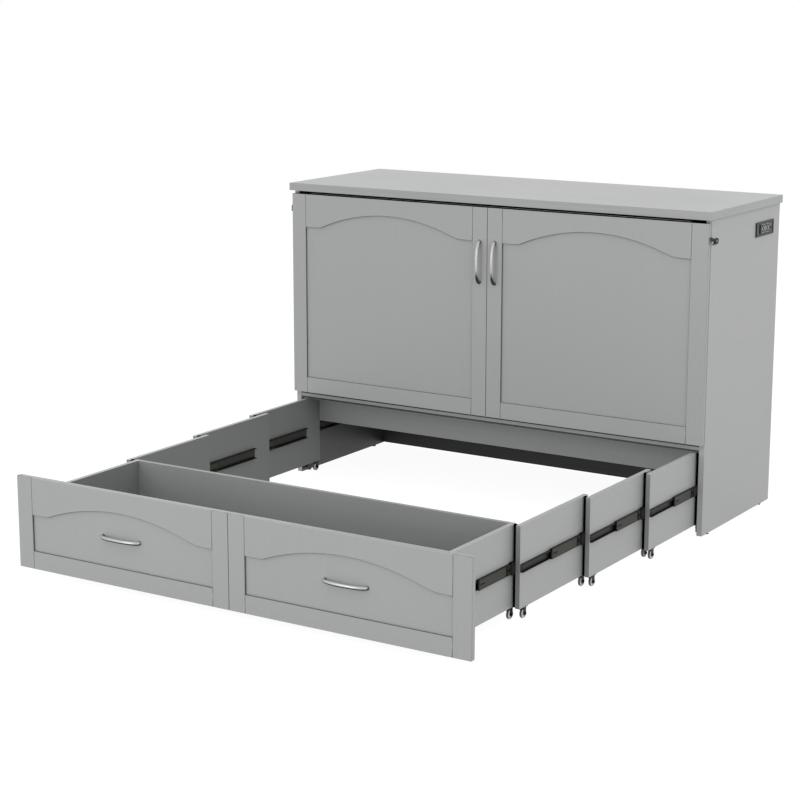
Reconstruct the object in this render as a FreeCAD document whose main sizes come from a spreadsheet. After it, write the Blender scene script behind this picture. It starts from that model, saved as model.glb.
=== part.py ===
"""Cabinet bed: a closed cabinet on a floor, with its telescoping drawer frame pulled out.

Millimetres, +Z up, floor at Z 0, the front towards -Y, origin under the middle of the overall box.
Lengths along Y are thought of with the drawer pushed home, measured back from the front face of
the closed doors; pulled_out then moves each telescoping stage forward by its share of the travel.
"""
import FreeCAD, Part
import math
import os
import re

import Sketcher
from FreeCAD import Placement, Rotation, Vector

doc = FreeCAD.newDocument("cabinet_bed")
sheet = doc.addObject("Spreadsheet::Sheet", "sizes")

DRIVING_SIZES = {
    # cabinet carcase
    "cabinet_height": 1088, "body_width": 1640, "side_thick": 19, "side_depth": 571.5,
    "top_thick": 27.5, "top_side_overhang": 8.5, "top_front_overhang": 4, "top_rear_overhang": 3,
    "side_lift": 5, "back_thick": 15, "back_lift": 8, "back_inset": 1,
    "deck_level": 316.5, "deck_thick": 27,
    "foot_margin": 1, "foot_bracket_height": 34, "foot_bracket_depth": 30, "foot_bracket_thick": 4,
    "foot_bracket_lift": 12, "foot_bracket_setback": 1, "foot_front_setback": 58,
    "foot_rear_setback": 68,
    # fold-down front and the joined drawer front, both framed boards
    "board_thick": 14, "frame_thick": 6, "door_gap": 0.5, "front_inset": 1.5,
    "flap_lift": 0.5, "flap_top_gap": 11, "stile_width": 59, "rail_height": 58, "stile_seam": 0.6,
    "arch_drop": 119, "arch_rise": 61, "arch_shoulder": 64, "arch_run_out": 150,
    "front_lift": 20, "front_top_gap": 3.5, "drawer_arch_drop": 119, "drawer_arch_rise": 55,
    # bow handles
    "handle_length": 155, "handle_reach": 26, "handle_radius": 4.5, "handle_foot_radius": 6.5,
    "handle_foot_height": 8, "flap_handle_drop": 189.5, "flap_handle_offset": 30,
    "drawer_handle_offset": 408, "drawer_handle_rise": 149,
    # hinges: one long piano hinge under the flap, one between flap and fold-out leaf
    "knuckle_radius": 1.4, "pin_radius": 0.6, "hinge_plate": 1, "hinge_width": 13,
    "hinge_length": 1500, "knuckle_play": 0.3, "knuckle_clear": 0.2, "pin_play": 0.1,
    "rebate_play": 2,
    "leaf_length": 400, "leaf_thick": 18, "leaf_side_gap": 12,
    # travel of the drawer, and the sliding stages that carry it
    "travel": 1484, "stage_thick": 15, "slide_space": 12.7, "caster_height": 36, "deck_clear": 2.5,
    "stage_setback": 45, "stage_length": 420, "cross_height": 97, "cross_thick": 15,
    "drawer_depth": 424, "floor_thick": 9, "floor_lift": 12,
    # three-part ball slides
    "slide_rise": 124, "slide_steel": 1.5, "slide_play": 0.3, "outer_height": 37, "outer_flange": 10,
    "middle_height": 31, "inner_height": 24, "slide_start": 25, "rail_setback": 1,
    "outer_length": 350, "middle_setback": 5, "middle_length": 315, "middle_depth": 9.2,
    "inner_length": 325,
    # casters
    "wheel_radius": 15, "wheel_width": 9, "wheel_edge": 2.5, "axle_radius": 2.5, "axle_play": 0.1,
    "axle_length": 18, "fork_steel": 1.5, "fork_width": 13, "fork_gap": 1, "plate_lip": 1,
    "plate_length": 30, "caster_front": 35, "caster_rear": 18, "drawer_caster_front": 75,
    # side latches
    "latch_drop": 61.5, "stud_setback": 12, "stud_radius": 3, "stud_head_radius": 5, "stud_length": 10,
    "stud_head": 2, "latch_pivot": 41, "latch_plate_start": 22, "latch_plate_length": 51,
    "latch_plate_height": 20, "latch_plate_thick": 2.2, "latch_slot_length": 14,
    "latch_slot_height": 7, "hook_thick": 3, "hook_width": 6.5, "hook_gap": 2, "hook_neck": 1,
    "hook_eye_radius": 6, "hook_play": 0.3, "pivot_radius": 3, "pivot_play": 0.1,
    "pivot_head_radius": 5.5, "pivot_head": 1.2, "hook_lift_angle": 16,
    # power outlet in the right side
    "outlet_rear_gap": 60, "outlet_length": 148.5, "outlet_height": 49, "outlet_drop": 73.5,
    "outlet_lip": 4.5, "outlet_body_depth": 45, "outlet_rim": 6, "outlet_play": 0.4,
    "outlet_recess": 1.5,
    # how far a cutting piece runs past the surface it goes through
    "cut_past": 1,
}

for row, (alias, size) in enumerate(DRIVING_SIZES.items(), start=1):
    sheet.set(f"A{row}", alias.replace("_", " "))
    sheet.set(f"B{row}", str(size))
    sheet.setAlias(f"B{row}", alias)
doc.recompute()

LEFT, RIGHT = -1, 1
SIDES = {"left": LEFT, "right": RIGHT}
STAGES = (2, 3, 4)

# Lengths worked out from the driving sizes; each may use those above it
WORKED_OUT = {
    "half_body": "body_width/2",
    "half_inside": "half_body - side_thick",
    "side_top": "cabinet_height - top_thick",
    "door_thick": "board_thick + frame_thick",
    "side_front": "door_thick + door_gap",
    "cabinet_rear": "side_front + side_depth",
    # the middle of the overall box, from the drawer's handles to the rear of the top board
    "origin_shift": "(travel + handle_reach - frame_thick - cabinet_rear - top_rear_overhang)/2",
    "half_front": "half_body - front_inset",
    "flap_low": "deck_level + flap_lift",
    "flap_high": "side_top - flap_top_gap",
    "flap_tall": "flap_high - flap_low",
    "front_high": "flap_low - front_top_gap",
    "front_tall": "front_high - front_lift",
    "stage_high": "deck_level - deck_thick - deck_clear",
    "stage_tall": "stage_high - caster_height",
    "stage_pitch": "stage_thick + slide_space",
    "slide_level": "caster_height + slide_rise",
    "drawer_handle_level": "front_lift + drawer_handle_rise",
    "knuckle_reach": "knuckle_radius + knuckle_clear",
    "latch_level": "flap_high - latch_drop",
    "outlet_level": "side_top - outlet_drop",
    "outlet_start": "cabinet_rear - outlet_rear_gap - outlet_length",
}
written_out = {}


def write_out(text):
    """Puts the meaning of each worked-out length in place of its name."""
    for name, meaning in written_out.items():
        text = re.sub(rf"\b{name}\b", meaning, text)
    return text


for length, meaning in WORKED_OUT.items():
    written_out[length] = f"({write_out(meaning)})"


def formula(text):
    """An expression for the document: every name of a size becomes its cell in the sheet."""
    return re.sub(r"\b([a-z]+(?:_[a-z]+)+|travel)\b", r"sizes.\1", write_out(text))


def size_of(text):
    """The present value of a formula, in millimetres."""
    return sheet.evalExpression(formula(text))


def pulled_out(depth, share):
    """Where a point of a stage lies in the model: closed depth, less its share of the travel."""
    return f"(origin_shift + {depth} - travel*{share})"


def place(piece, x, y, z, axis=None, angle=0):
    """Puts a piece at a formula for each coordinate, turned by a fixed angle about an axis."""
    if axis is not None:
        piece.Placement = Placement(Vector(), Rotation(Vector(*axis), angle))
    for letter, text in zip("xyz", (x, y, z)):
        piece.setExpression(f"Placement.Base.{letter}", formula(text))
    return piece


def box(label, x, y, z, length, width, height):
    """A plain board or plate: lowest corner and sizes along X, Y and Z."""
    piece = doc.addObject("Part::Box", label)
    piece.Label = label
    for name, text in (("Length", length), ("Width", width), ("Height", height)):
        piece.setExpression(name, formula(text))
    return place(piece, x, y, z)


AXES = {"x": ((0, 1, 0), 90), "y": ((1, 0, 0), -90), "z": ((0, 0, 1), 0)}


def rod(label, along, x, y, z, radius, length):
    """A cylinder from a point, along +X, +Y or +Z."""
    piece = doc.addObject("Part::Cylinder", label)
    piece.Label = label
    piece.setExpression("Radius", formula(radius))
    piece.setExpression("Height", formula(length))
    return place(piece, x, y, z, *AXES[along])


def fused(label, pieces):
    """One solid made of touching pieces."""
    whole = doc.addObject("Part::MultiFuse", label)
    whole.Label = label
    whole.Shapes = pieces
    whole.Refine = True
    return whole


def cut(label, base, tool):
    """A piece with another taken out of it."""
    whole = doc.addObject("Part::Cut", label)
    whole.Label = label
    whole.Base = base
    whole.Tool = tool
    return whole


def group(label, pieces):
    """Separate solids that share one node."""
    whole = doc.addObject("Part::Compound", label)
    whole.Label = label
    whole.Links = pieces
    return whole


def new_body(label):
    body = doc.addObject("PartDesign::Body", label)
    body.Label = label
    return body


def outline(body, label, plane, corners):
    """A closed straight-sided sketch on a body's own plane, each corner driven by two formulas."""
    sketch = body.newObject("Sketcher::SketchObject", label)
    support = next(item for item in body.Origin.OriginFeatures if item.Role == plane)
    sketch.AttachmentSupport = [(support, "")]
    sketch.MapMode = "FlatFace"
    spots = [Vector(size_of(u), size_of(v), 0) for u, v in corners]
    for start, end in zip(spots, spots[1:] + spots[:1]):
        sketch.addGeometry(Part.LineSegment(start, end))
    for index in range(len(spots)):
        following = (index + 1) % len(spots)
        sketch.addConstraint(Sketcher.Constraint("Coincident", index, 2, following, 1))
    for index, (spot, texts) in enumerate(zip(spots, corners)):
        for kind, amount, text in zip(("DistanceX", "DistanceY"), spot, texts):
            number = sketch.addConstraint(Sketcher.Constraint(kind, -1, 1, index, 1, amount))
            sketch.setExpression(f"Constraints[{number}]", formula(text))
    return sketch


def ring(body, label, radius):
    """A circle about the origin of a body, on its YZ plane."""
    sketch = body.newObject("Sketcher::SketchObject", label)
    support = next(item for item in body.Origin.OriginFeatures if item.Role == "YZ_Plane")
    sketch.AttachmentSupport = [(support, "")]
    sketch.MapMode = "FlatFace"
    sketch.addGeometry(Part.Circle(Vector(), Vector(0, 0, 1), size_of(radius)))
    sketch.addConstraint(Sketcher.Constraint("Coincident", 0, 3, -1, 1))
    number = sketch.addConstraint(Sketcher.Constraint("Radius", 0, size_of(radius)))
    sketch.setExpression(f"Constraints[{number}]", formula(radius))
    return sketch


def pad(body, label, sketch, length, reverse=False):
    """Thickens a sketch along its normal, or the other way."""
    feature = body.newObject("PartDesign::Pad", label)
    feature.Profile = sketch
    feature.Reversed = reverse
    feature.setExpression("Length", formula(length))
    return feature


def both_ways(side, near, far):
    """The lower X of a span that lies between two distances from the middle, on one side."""
    return near if side == RIGHT else f"-({far})"


nodes = []


def node(piece):
    """Marks a finished sub-part, whose Label names its file."""
    nodes.append(piece)
    return piece


# ---------------------------------------------------------------- carcase

def carcase():
    """Top board, two sides, back and the fixed head end of the bed deck."""
    node(box("top_board", "-half_body - top_side_overhang", "origin_shift - top_front_overhang",
             "side_top", "body_width + 2*top_side_overhang",
             "cabinet_rear + top_front_overhang + top_rear_overhang", "top_thick"))
    for name, side in SIDES.items():
        panel = box(f"side_panel_{name}" + ("_blank" if side == RIGHT else ""),
                    both_ways(side, "half_inside", "half_body"), "origin_shift + side_front",
                    "side_lift", "side_thick", "side_depth", "side_top - side_lift")
        if side == RIGHT:
            hole = box("outlet_hole", "half_inside - cut_past",
                       "origin_shift + outlet_start + outlet_rim - outlet_play",
                       "outlet_level - outlet_height/2 + outlet_rim - outlet_play",
                       "side_thick + 2*cut_past",
                       "outlet_length - 2*outlet_rim + 2*outlet_play",
                       "outlet_height - 2*outlet_rim + 2*outlet_play")
            panel = cut("side_panel_right", panel, hole)
        node(panel)
    node(box("back_panel", "-half_inside", "origin_shift + cabinet_rear - back_thick - back_inset",
             "back_lift", "body_width - 2*side_thick", "back_thick", "side_top - back_lift"))
    deck = box("deck_blank", "-half_inside", "origin_shift + side_front", "deck_level - deck_thick",
               "body_width - 2*side_thick", "side_depth - back_thick - back_inset", "deck_thick")
    rebate = box("deck_rebate", "-hinge_length/2 - rebate_play", "origin_shift + side_front - cut_past",
                 "flap_low - knuckle_reach - knuckle_clear/2", "hinge_length + 2*rebate_play",
                 "hinge_width + rebate_play + cut_past", "knuckle_reach + cut_past")
    node(cut("head_deck", deck, rebate))


def levelling_feet():
    """A round glide under each end of each side, with the small steel bracket that holds it."""
    parts = []
    for name, side in SIDES.items():
        for end, depth in (("front", "side_front + foot_front_setback"),
                           ("rear", "cabinet_rear - foot_rear_setback")):
            parts.append(rod(f"foot_{name}_{end}", "z", f"{side}*(half_body - side_thick/2)",
                             f"origin_shift + {depth}", "0", "side_thick/2 - foot_margin",
                             "side_lift"))
        near = "half_inside - foot_bracket_thick"
        parts.append(box(f"foot_bracket_{name}", both_ways(side, near, "half_inside"),
                         "origin_shift + side_front + foot_bracket_setback",
                         "side_lift + foot_bracket_lift", "foot_bracket_thick",
                         "foot_bracket_depth", "foot_bracket_height"))
    node(group("levelling_feet", parts))


def power_outlet():
    """A flush outlet: rim on the face, a body through the hole, and a sunk front."""
    low = "outlet_level - outlet_height/2"
    rim = box("outlet_rim_plate", "half_body", "origin_shift + outlet_start", low, "outlet_lip",
              "outlet_length", "outlet_height")
    core = box("outlet_core", "half_body - outlet_body_depth", "origin_shift + outlet_start + outlet_rim",
               f"{low} + outlet_rim", "outlet_body_depth", "outlet_length - 2*outlet_rim",
               "outlet_height - 2*outlet_rim")
    sunk = box("outlet_sunk", "half_body + outlet_lip - outlet_recess",
               "origin_shift + outlet_start + outlet_rim", f"{low} + outlet_rim", "outlet_recess + cut_past",
               "outlet_length - 2*outlet_rim", "outlet_height - 2*outlet_rim")
    node(cut("power_outlet", fused("outlet_whole", [rim, core]), sunk))


# ---------------------------------------------------------------- framed fronts

def eased_edge(label, base, x, z, radius):
    """Rounds the one edge along Y of a piece that passes nearest to a point of the XZ plane."""
    doc.recompute()
    spot = Vector(size_of(x), 0, size_of(z))

    def miss(edge):
        middle = edge.CenterOfMass
        return math.hypot(middle.x - spot.x, middle.z - spot.z)

    edges = base.Shape.Edges
    whole = doc.addObject("Part::Fillet", label)
    whole.Label = label
    whole.Base = base
    whole.Edges = [(edges.index(min(edges, key=miss)) + 1, size_of(radius), size_of(radius))]
    return whole


def arched_rail(label, x, y, low, high, drop, rise):
    """A top rail whose lower edge rises in one arc between two flat shoulders.

    The arc leaves the left shoulder at a crisp corner, and runs out smoothly to the right one.
    """
    chord = "(half_front - 2*stile_width - 2*arch_shoulder)"
    radius = f"((({chord}/2)^2 + ({rise})^2)/(2*{rise}))"
    blank = box(f"{label}_blank", x, y, f"{high} - {drop}", "half_front - 2*stile_width",
                "frame_thick", drop)
    arch = rod(f"{label}_arch", "y", f"{x} + half_front/2 - stile_width", f"{y} - cut_past",
               f"{high} - {drop} + {rise} - {radius}", radius, "frame_thick + 2*cut_past")
    run_out = f"{x} + half_front - 2*stile_width - arch_shoulder"
    return eased_edge(label, cut(f"{label}_arched", blank, arch), run_out, f"{high} - {drop}",
                      "arch_run_out")


def framed_front(label, y, low, high, drop, rise):
    """Stiles and rails of two look-alike doors, planted on the board behind them."""
    parts = []
    tall = f"({high} - {low})"
    for name, side in SIDES.items():
        for kind, near, far in (("outer", "half_front - stile_width", "half_front"),
                                ("inner", "stile_seam/2", "stile_width")):
            parts.append(box(f"{label}_{kind}_stile_{name}", both_ways(side, near, far), y, low,
                             f"{far} - ({near})", "frame_thick", tall))
        start = both_ways(side, "stile_width", "half_front - stile_width")
        parts.append(box(f"{label}_low_rail_{name}", start, y, low, "half_front - 2*stile_width",
                         "frame_thick", "rail_height"))
        parts.append(arched_rail(f"{label}_top_rail_{name}", start, y, low, high, drop, rise))
    return group(label, parts)


def bow_handle(label, upright, x, y, z):
    """A round bar bent in one arc, standing on two short feet; its ends lie along X or Z."""
    half = "(handle_length/2 - handle_foot_radius)"
    rise = "(handle_reach - handle_radius - handle_foot_height)"
    radius = f"((({half})^2 + ({rise})^2)/(2*{rise}))"
    sweep = f"(2*asin({half}/{radius}))"
    bar = doc.addObject("Part::Torus", f"{label}_bar")
    bar.setExpression("Radius1", formula(radius))
    bar.setExpression("Radius2", formula("handle_radius"))
    bar.Angle1, bar.Angle2 = -180, 180
    bar.setExpression("Angle3", formula(sweep))
    turn = math.degrees(math.asin(size_of(f"{half}/{radius}")))
    # the arc's middle points to -Y once the sector is turned by half its sweep past -Y
    flat = Rotation(Vector(0, 0, 1), -90 - turn)
    stand = Rotation(Vector(0, 1, 0), 90) if upright else Rotation()
    bar.Placement = Placement(Vector(), stand.multiply(flat))
    place(bar, x, f"{y} - handle_reach + handle_radius + {radius}", z)
    feet = []
    for end in (-1, 1):
        foot_x = x if upright else f"{x} + {end}*{half}"
        foot_z = f"{z} + {end}*{half}" if upright else z
        feet.append(rod(f"{label}_foot_{end + 1}", "y", foot_x, f"{y} - handle_foot_height", foot_z,
                        "handle_foot_radius", "handle_foot_height"))
    return fused(label, [bar] + feet)


# ---------------------------------------------------------------- hinges

KNUCKLES = 15


def hinge_half(label, plate_u, plate_w, first, pinned):
    """Half a piano hinge about its own X axis: a plate, and every other knuckle joined to it.

    plate_u and plate_w are the plate's spans along Y and Z from the axis. first is 0 or 1, for
    the knuckle it starts with, and the pinned half carries the pin.
    """
    start = "-hinge_length/2"
    step = f"(hinge_length/{KNUCKLES})"
    (low_u, high_u), (low_w, high_w) = plate_u, plate_w
    thick = f"({high_w}) - ({low_w})"
    in_front = size_of(high_u) < 0
    tab_from, tab_to = (high_u, "0") if in_front else ("0", low_u)
    parts = [box(f"{label}_plate", start, low_u, low_w, "hinge_length",
                 f"({high_u}) - ({low_u})", thick)]
    for index in range(first, KNUCKLES, 2):
        begin = f"{start} + {index}*{step} + knuckle_play"
        length = f"{step} - 2*knuckle_play"
        parts.append(rod(f"{label}_knuckle_{index}", "x", begin, "0", "0", "knuckle_radius", length))
        parts.append(box(f"{label}_tab_{index}", begin, tab_from, low_w, length,
                         f"({tab_to}) - ({tab_from})", thick))
    whole = fused(f"{label}_solid", parts)
    if pinned:
        pin = rod(f"{label}_pin", "x", start, "0", "0", "pin_radius", "hinge_length")
        return fused(f"{label}_pinned", [whole, pin])
    bore = rod(f"{label}_bore", "x", f"{start} - cut_past", "0", "0", "pin_radius + pin_play",
               "hinge_length + 2*cut_past")
    return cut(f"{label}_bored", whole, bore)


def hinges():
    """The piano hinge under the flap and the one along its top edge, which carries the leaf."""
    low_axis = ("0", "origin_shift + side_front - knuckle_reach", "flap_low - knuckle_reach")
    high_axis = ("0", "origin_shift + door_thick + door_gap/2", "flap_high + knuckle_reach")
    near = "(knuckle_radius + knuckle_play)"
    far = f"({near} + hinge_width)"
    flush = ("knuckle_reach - hinge_plate", "knuckle_reach")
    sunk = ("-knuckle_clear/2", "hinge_plate - knuckle_clear/2")
    on_top = ("-knuckle_reach", "hinge_plate - knuckle_reach")
    behind_edge = (f"{near} + knuckle_clear/2", far)
    return {
        "deck": place(hinge_half("hinge_deck", behind_edge, sunk, 0, True), *low_axis),
        "flap_low": place(hinge_half("hinge_flap_low", (f"-{far}", f"-{near}"), flush, 1, False),
                          *low_axis),
        "flap_high": place(hinge_half("hinge_flap_high", (f"-{far}", f"-{near}"), on_top, 0, True),
                           *high_axis),
        "leaf": place(hinge_half("hinge_leaf", (near, far), on_top, 1, False), *high_axis),
    }


def flap_and_leaf():
    """The fold-down front, its frame, handles, studs and hinges, and the leaf folded behind it."""
    halves = hinges()
    halves["deck"].Label = "deck_hinge_plate"
    node(halves["deck"])
    node(box("flap_board", "-half_front", "origin_shift + frame_thick", "flap_low", "2*half_front",
             "board_thick", "flap_tall"))
    node(framed_front("flap_frame", "origin_shift", "flap_low", "flap_high", "arch_drop", "arch_rise"))
    level = "flap_high - flap_handle_drop"
    node(group("flap_handles", [
        bow_handle(f"flap_handle_{name}", True, f"{side}*flap_handle_offset", "origin_shift", level)
        for name, side in SIDES.items()]))
    studs = []
    for name, side in SIDES.items():
        shank = rod(f"stud_shank_{name}", "x", both_ways(side, "half_front", "half_front + stud_length"),
                    "origin_shift + stud_setback", "latch_level", "stud_radius", "stud_length")
        head_near = "half_front + stud_length - stud_head"
        head = rod(f"stud_head_{name}", "x", both_ways(side, head_near, "half_front + stud_length"),
                   "origin_shift + stud_setback", "latch_level", "stud_head_radius", "stud_head")
        studs.append(fused(f"stud_{name}", [shank, head]))
    node(group("flap_hinges_and_studs", [halves["flap_low"], halves["flap_high"]] + studs))
    node(box("fold_out_leaf", "-half_inside + leaf_side_gap", "origin_shift + side_front",
             "flap_high - leaf_length", "body_width - 2*side_thick - 2*leaf_side_gap", "leaf_thick",
             "leaf_length"))
    halves["leaf"].Label = "leaf_hinge_plate"
    node(halves["leaf"])


# ---------------------------------------------------------------- side latches

def latches():
    """On each side a slotted plate, and a hook that swings down over the stud on the flap."""
    plates = []
    level = "latch_level"
    for name, side in SIDES.items():
        low_y = "origin_shift + latch_plate_start"
        round_ends = [rod(f"latch_end_{name}_{end}", "x",
                          both_ways(side, "half_body", "half_body + latch_plate_thick"),
                          f"{low_y} + {offset}", level, "latch_plate_height/2", "latch_plate_thick")
                      for end, offset in (("front", "latch_plate_height/2"),
                                          ("rear", "latch_plate_length - latch_plate_height/2"))]
        middle = box(f"latch_middle_{name}",
                     both_ways(side, "half_body", "half_body + latch_plate_thick"),
                     f"{low_y} + latch_plate_height/2", f"{level} - latch_plate_height/2",
                     "latch_plate_thick", "latch_plate_length - latch_plate_height",
                     "latch_plate_height")
        pin_end = "half_body + latch_plate_thick + hook_thick + 2*hook_play"
        pin = rod(f"latch_pin_{name}", "x", both_ways(side, "half_body", pin_end),
                  "origin_shift + latch_pivot", level, "pivot_radius", f"{pin_end} - half_body")
        head = rod(f"latch_pin_head_{name}", "x", both_ways(side, pin_end, f"{pin_end} + pivot_head"),
                   "origin_shift + latch_pivot", level, "pivot_head_radius", "pivot_head")
        slot = box(f"latch_slot_{name}",
                   both_ways(side, "half_body - cut_past", "half_body + latch_plate_thick + cut_past"),
                   f"{low_y} + latch_plate_length - latch_plate_height/2 - latch_slot_length/2",
                   f"{level} - latch_slot_height/2",
                   "latch_plate_thick + 2*cut_past", "latch_slot_length", "latch_slot_height")
        plates.append(cut(f"latch_plate_{name}",
                          fused(f"latch_whole_{name}", [middle, pin, head] + round_ends), slot))
    node(group("latch_plates", plates))
    for name, side in SIDES.items():
        node(latch_hook(name, side))


def latch_hook(name, side):
    """A flat hook: a bar from the pivot, with a mouth at its end that opens downwards."""
    body = new_body(f"latch_hook_{name}")
    reach = "(latch_pivot - stud_setback)"
    mouth = "(stud_radius + hook_gap)"
    corners = [("-hook_width/2", "-hook_width/2"), ("-hook_width/2", "hook_width/2"),
               (f"{reach} - {mouth} - hook_neck", "hook_width/2"),
               (f"{reach} - {mouth} - hook_neck", f"{mouth} + hook_width/2"),
               (f"{reach} + {mouth} + hook_width/2", f"{mouth} + hook_width/2"),
               (f"{reach} + {mouth} + hook_width/2", "-hook_width/2"),
               (f"{reach} + {mouth}", "-hook_width/2"),
               (f"{reach} + {mouth}", mouth), (f"{reach} - {mouth}", mouth),
               (f"{reach} - {mouth}", "-hook_width/2")]
    flat = outline(body, f"hook_outline_{name}", "YZ_Plane",
                   [(f"-({forward})", up) for forward, up in corners])
    pad(body, f"hook_pad_{name}", flat, "hook_thick")
    pad(body, f"hook_eye_{name}", ring(body, f"hook_eye_outline_{name}", "hook_eye_radius"),
        "hook_thick")
    drilled = body.newObject("PartDesign::Pocket", f"hook_drill_{name}")
    drilled.Profile = ring(body, f"hook_bore_{name}", "pivot_radius + pivot_play")
    drilled.Type = 1
    drilled.Midplane = True
    lift = size_of("hook_lift_angle")
    # raised: the front end, on the -Y side, turns up about X
    body.Placement = Placement(Vector(), Rotation(Vector(1, 0, 0), -lift))
    near = "half_body + latch_plate_thick + hook_play"
    place(body, both_ways(side, near, f"{near} + hook_thick"), "origin_shift + latch_pivot",
          "latch_level")
    return body


# ---------------------------------------------------------------- slides

def channel(label, side, inner_x, share, kind, start, length):
    """One member of a ball slide on a stage's outer face, as a padded C section.

    inner_x is the X of the face that the slide's inner member is screwed to; the slide fills the
    space from there out to the next stage. kind is outer, middle or inner.
    """
    half = f"({kind}_height/2)"
    if kind == "outer":
        back, front = "slide_space", "(slide_space - outer_flange)"
        flange = "((outer_height - middle_height)/2 - slide_play)"
    elif kind == "middle":
        back = "(slide_space - slide_steel - slide_play)"
        front = f"({back} - middle_depth)"
        flange = "((middle_height - inner_height)/2 - slide_play)"
    else:
        back, front = "0", "(slide_space - 2*slide_steel - 2*slide_play)"
        flange = "slide_steel"
    inside = "slide_steel" if kind == "inner" else f"{back} - slide_steel"
    corners = [(back, f"-{half}"), (back, half), (front, half), (front, f"{half} - {flange}"),
               (inside, f"{half} - {flange}"), (inside, f"{flange} - {half}"),
               (front, f"{flange} - {half}"), (front, f"-{half}")]
    body = new_body(label)
    profile = outline(body, f"{label}_section", "XZ_Plane",
                      [(f"{side}*({out})", up) for out, up in corners])
    pad(body, f"{label}_pad", profile, length, reverse=True)
    return place(body, f"{side}*({inner_x})", pulled_out(start, share), "slide_level")


def outer_face(stage):
    """Distance from the middle to the outer face of a stage's side; the drawer is stage 1."""
    return f"(half_inside - slide_space - {4 - stage}*stage_pitch)"


# How much of the drawer's travel each stage makes; stage 1 is the drawer and 5 the cabinet
SHARES = {1: 1, 2: 0.7466, 3: 0.4885, 4: 0.2466, 5: 0}


def slide_rails(stage):
    """The slide members screwed to one stage: inner ones outside it, outer ones inside it."""
    parts = []
    for name, side in SIDES.items():
        if stage <= 4:
            start = "slide_start" if stage == 1 else "(stage_setback + rail_setback)"
            parts.append(channel(f"inner_rail_{stage}_{name}", side, outer_face(stage),
                                 SHARES[stage], "inner", start, "inner_length"))
        if stage >= 2:
            parts.append(channel(f"outer_rail_{stage}_{name}", side, outer_face(stage - 1),
                                 SHARES[stage], "outer", "slide_start", "outer_length"))
    return parts


def middle_member(stage):
    """The middle members of the two slides that run between a stage and the next one out."""
    share = (SHARES[stage] + SHARES[stage + 1])/2
    return [channel(f"middle_rail_{stage}_{name}", side, outer_face(stage), share, "middle",
                    "slide_start + middle_setback", "middle_length")
            for name, side in SIDES.items()]


# ---------------------------------------------------------------- casters

def caster_spots(stage):
    """X distance and closed depths of the casters under a stage's side."""
    middle = f"({outer_face(stage)} - stage_thick/2)"
    if stage == 1:
        return middle, {"front": "drawer_caster_front",
                        "rear": "(door_thick + drawer_depth - caster_rear)"}
    return middle, {"front": "(stage_setback + caster_front)",
                    "rear": "(stage_setback + stage_length - caster_rear)"}


def caster_fork(label, x, y):
    """Plate, two cheeks with round ends, and the axle pin through them."""
    half_gap = "(wheel_width/2 + fork_gap)"
    reach = f"({half_gap} + fork_steel)"
    parts = [box(f"{label}_plate", f"{x} - {reach} - plate_lip", f"{y} - plate_length/2",
                 "caster_height - fork_steel", f"2*({reach} + plate_lip)", "plate_length",
                 "fork_steel"),
             rod(f"{label}_axle", "x", f"{x} - axle_length/2", y, "wheel_radius", "axle_radius",
                 "axle_length")]
    for name, side in SIDES.items():
        low = f"{x} + {half_gap}" if side == RIGHT else f"{x} - {reach}"
        parts.append(box(f"{label}_cheek_{name}", low, f"{y} - fork_width/2", "wheel_radius",
                         "fork_steel", "fork_width", "caster_height - wheel_radius - fork_steel/2"))
        parts.append(rod(f"{label}_round_{name}", "x", low, y, "wheel_radius", "fork_width/2",
                         "fork_steel"))
    return fused(label, parts)


def caster_wheel(label, x, y):
    """A turned wheel with eased edges and a bore, revolved about its axle."""
    body = new_body(label)
    bore = "(axle_radius + axle_play)"
    corners = [("0", bore), ("wheel_width", bore), ("wheel_width", "wheel_radius - wheel_edge"),
               ("wheel_width - wheel_edge", "wheel_radius"), ("wheel_edge", "wheel_radius"),
               ("0", "wheel_radius - wheel_edge")]
    profile = outline(body, f"{label}_section", "XZ_Plane", corners)
    turned = body.newObject("PartDesign::Revolution", f"{label}_turned")
    turned.Profile = profile
    turned.ReferenceAxis = (profile, ["H_Axis"])
    turned.Angle = 360
    return place(body, f"{x} - wheel_width/2", y, "wheel_radius")


def casters(stage, owner):
    """Four casters under a stage; the forks share a node, and each wheel is its own."""
    middle, depths = caster_spots(stage)
    forks = []
    for name, side in SIDES.items():
        for end, depth in depths.items():
            x, y = f"{side}*{middle}", pulled_out(depth, SHARES[stage])
            forks.append(caster_fork(f"{owner}_fork_{name}_{end}", x, y))
            node(caster_wheel(f"{owner}_wheel_{name}_{end}", x, y))
    node(group(f"{owner}_caster_forks", forks))


# ---------------------------------------------------------------- stages and drawer

def stage(number):
    """A left and a right side board on casters; the outermost pair is tied by a cross board."""
    for name, side in SIDES.items():
        outer = outer_face(number)
        node(box(f"stage_{number}_side_{name}", both_ways(side, f"{outer} - stage_thick", outer),
                 pulled_out("stage_setback", SHARES[number]), "caster_height", "stage_thick",
                 "stage_length", "stage_tall"))
    if number == 4:
        outer = outer_face(number)
        node(box("stage_4_cross_board", f"-({outer})",
                 pulled_out("(stage_setback + stage_length)", SHARES[number]),
                 "stage_high - cross_height", f"2*{outer}", "cross_thick", "cross_height"))
    node(group(f"stage_{number}_slide_rails", slide_rails(number)))
    casters(number, f"stage_{number}")


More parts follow.
